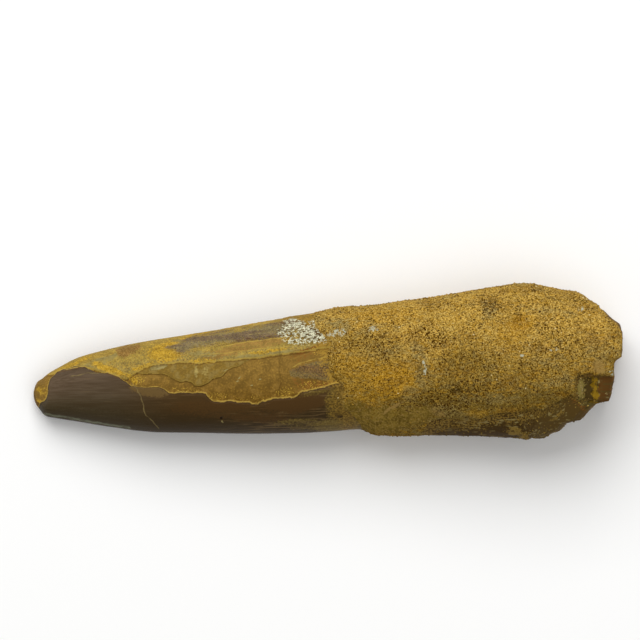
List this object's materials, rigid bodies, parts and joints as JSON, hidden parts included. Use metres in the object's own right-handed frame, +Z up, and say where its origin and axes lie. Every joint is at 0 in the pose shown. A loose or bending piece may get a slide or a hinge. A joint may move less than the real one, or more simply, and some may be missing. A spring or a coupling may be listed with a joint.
{
  "type": "fossil dinosaur tooth",
  "caption": "Long tapering fossil tooth lying on its side, with a worn tip, chipped enamel and sandstone cemented to its broken root.",
  "frame": {"origin": "middle of the underside of the bounding box, on the surface the tooth lies on", "axes": "+X from the tip to the broken root, +Y across the broad side that faces up, +Z up from the surface"},
  "size_m": [0.07, 0.0182, 0.0144],
  "materials": {
    "fossil": "dark enamel and ochre dentine, smooth and softly shining, under a rough ochre sandstone crust"
  },
  "bodies": {
    "root": {"tooth": "fossil"}
  },
  "joints": []
}
